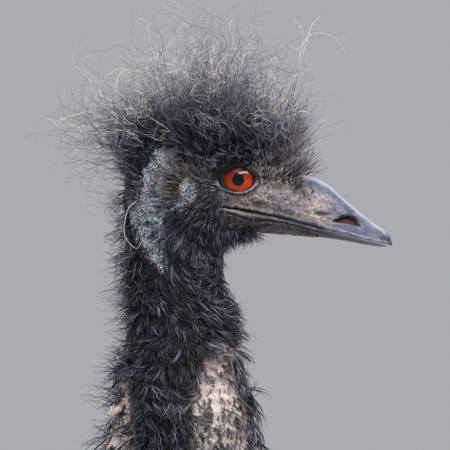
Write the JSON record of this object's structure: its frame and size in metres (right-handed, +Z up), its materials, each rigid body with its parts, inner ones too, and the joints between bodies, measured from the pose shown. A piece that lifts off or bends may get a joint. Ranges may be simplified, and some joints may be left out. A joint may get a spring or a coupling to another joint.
{
  "type": "emu",
  "caption": "Life-size still model of an adult emu standing alert, with a shaggy drooping coat, a tousled crest, bare facial skin, a broad bill and three-toed scaled feet.",
  "frame": {"origin": "on the floor, below the middle of the bird's bounding box", "axes": "+Z up, +X the way the bird faces, +Y its left side"},
  "size_m": [0.9938, 0.4654, 1.7353],
  "materials": {
    "body_plumage": "shaggy grey-brown hair-like feathers, darker at the tips, parted along the back",
    "neck_plumage": "sparse black hair-like feathers over pale blue-grey skin",
    "horn": "grey-brown horn with a satin blue-grey sheen and a paler ridge",
    "iris": "wet orange-red iris with a black pupil",
    "scales": "dull grey-brown scaled skin, with broad plates down the front",
    "claw": "worn near-black horn"
  },
  "bodies": {
    "root": {"head": "neck_plumage", "bill_upper": "horn", "bill_lower": "horn", "eye_right": "iris", "eye_left": "iris", "torso": "body_plumage", "neck_upper": "neck_plumage", "neck_middle": "neck_plumage", "neck_lower": "neck_plumage", "tail": "body_plumage", "wing_right": "body_plumage", "thigh_right": "body_plumage", "shank_right": "scales", "tarsus_right": "scales", "foot_right": "scales", "toe_middle_right": "scales", "claw_middle_right": "claw", "toe_inner_right": "scales", "claw_inner_right": "claw", "toe_outer_right": "scales", "claw_outer_right": "claw", "wing_left": "body_plumage", "thigh_left": "body_plumage", "shank_left": "scales", "tarsus_left": "scales", "foot_left": "scales", "toe_middle_left": "scales", "claw_middle_left": "claw", "toe_inner_left": "scales", "claw_inner_left": "claw", "toe_outer_left": "scales", "claw_outer_left": "claw"}
  },
  "joints": []
}
